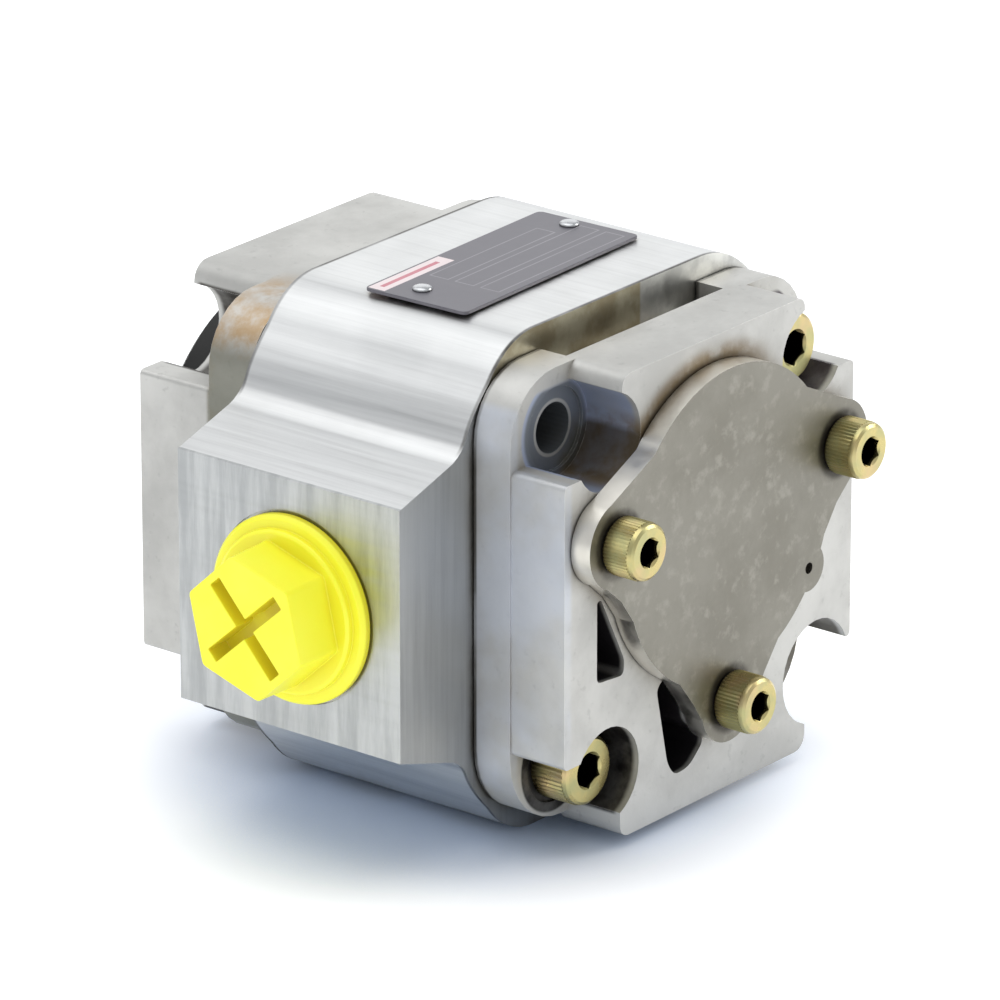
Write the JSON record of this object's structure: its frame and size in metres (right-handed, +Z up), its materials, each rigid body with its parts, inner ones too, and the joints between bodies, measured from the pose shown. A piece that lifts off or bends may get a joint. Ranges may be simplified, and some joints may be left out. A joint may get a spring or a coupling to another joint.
{
  "type": "internal gear pump",
  "caption": "Hydraulic internal gear pump: flanged aluminium body, keyed pinion shaft driving a ring gear round a half crescent, plugged side ports, lobed rear cover plate.",
  "frame": {"origin": "On the ground under the middle of the bounding box, so the housing's flat underside lies at z = 0. The shaft axis is 10.5 mm to the +X side of the origin and 57 mm up.", "axes": "+Z up. +Y along the shaft toward its drive end, and out of the mounting flange. -X out of the suction port face and +X out of the pressure port face."},
  "size_m": [0.164, 0.1596, 0.1161],
  "materials": {
    "machined_aluminium": "fine machined, satin",
    "cast_aluminium": "cast, lightly blasted",
    "cover_plate_metal": "ground, oil stained",
    "yellow_zinc": "yellow zinc plated",
    "steel": "ground",
    "bronze": "bearing bronze, satin",
    "black_rubber": "moulded",
    "label_plate": "dark anodised",
    "yellow_plastic": "injection moulded"
  },
  "bodies": {
    "pump_body": {"housing": "machined_aluminium", "rear_cover": "cast_aluminium", "front_cover": "cast_aluminium", "cover_plate": "cover_plate_metal", "cover_plate_screw_1": "yellow_zinc", "cover_plate_screw_2": "yellow_zinc", "cover_plate_screw_3": "yellow_zinc", "assembly_screw_1": "yellow_zinc", "assembly_screw_2": "yellow_zinc", "dowel_pin_rear_1": "steel", "dowel_pin_rear_2": "steel", "dowel_pin_front_1": "steel", "dowel_pin_front_2": "steel", "housing_o_ring_rear": "black_rubber", "housing_o_ring_front": "black_rubber", "pressure_seal_rear": "black_rubber", "pressure_seal_front": "black_rubber", "cover_plate_o_ring": "black_rubber", "shaft_seal": "black_rubber", "seal_retaining_ring": "steel", "bush_rear": "bronze", "bush_front": "bronze", "axial_disc_rear": "bronze", "axial_disc_front": "bronze", "segment_carrier": "bronze", "segment": "bronze", "sealing_roller_1": "steel", "sealing_roller_2": "steel", "leaf_spring": "steel", "stop_pin": "steel", "name_plate": "label_plate", "name_plate_rivet_1": "steel", "name_plate_rivet_2": "steel", "suction_plug": "yellow_plastic", "pressure_plug": "yellow_plastic"},
    "pinion_shaft": {"drive_shaft": "steel", "shaft_key": "steel"},
    "ring": {"ring_gear": "steel"}
  },
  "joints": [
    {"name": "drive_spin", "type": "hinge", "parent": "pump_body", "child": "pinion_shaft", "pos_m": [0.0105, -0.0112, 0.057], "axis": [0, 1, 0], "continuous": true},
    {"name": "ring_spin", "type": "hinge", "parent": "pump_body", "child": "ring", "pos_m": [0.0105, -0.0112, 0.0645], "axis": [0, 1, 0], "continuous": true}
  ],
  "couplings": [
    {"joint": "drive_spin", "follows": "ring_spin", "ratio": 1.4615}
  ]
}
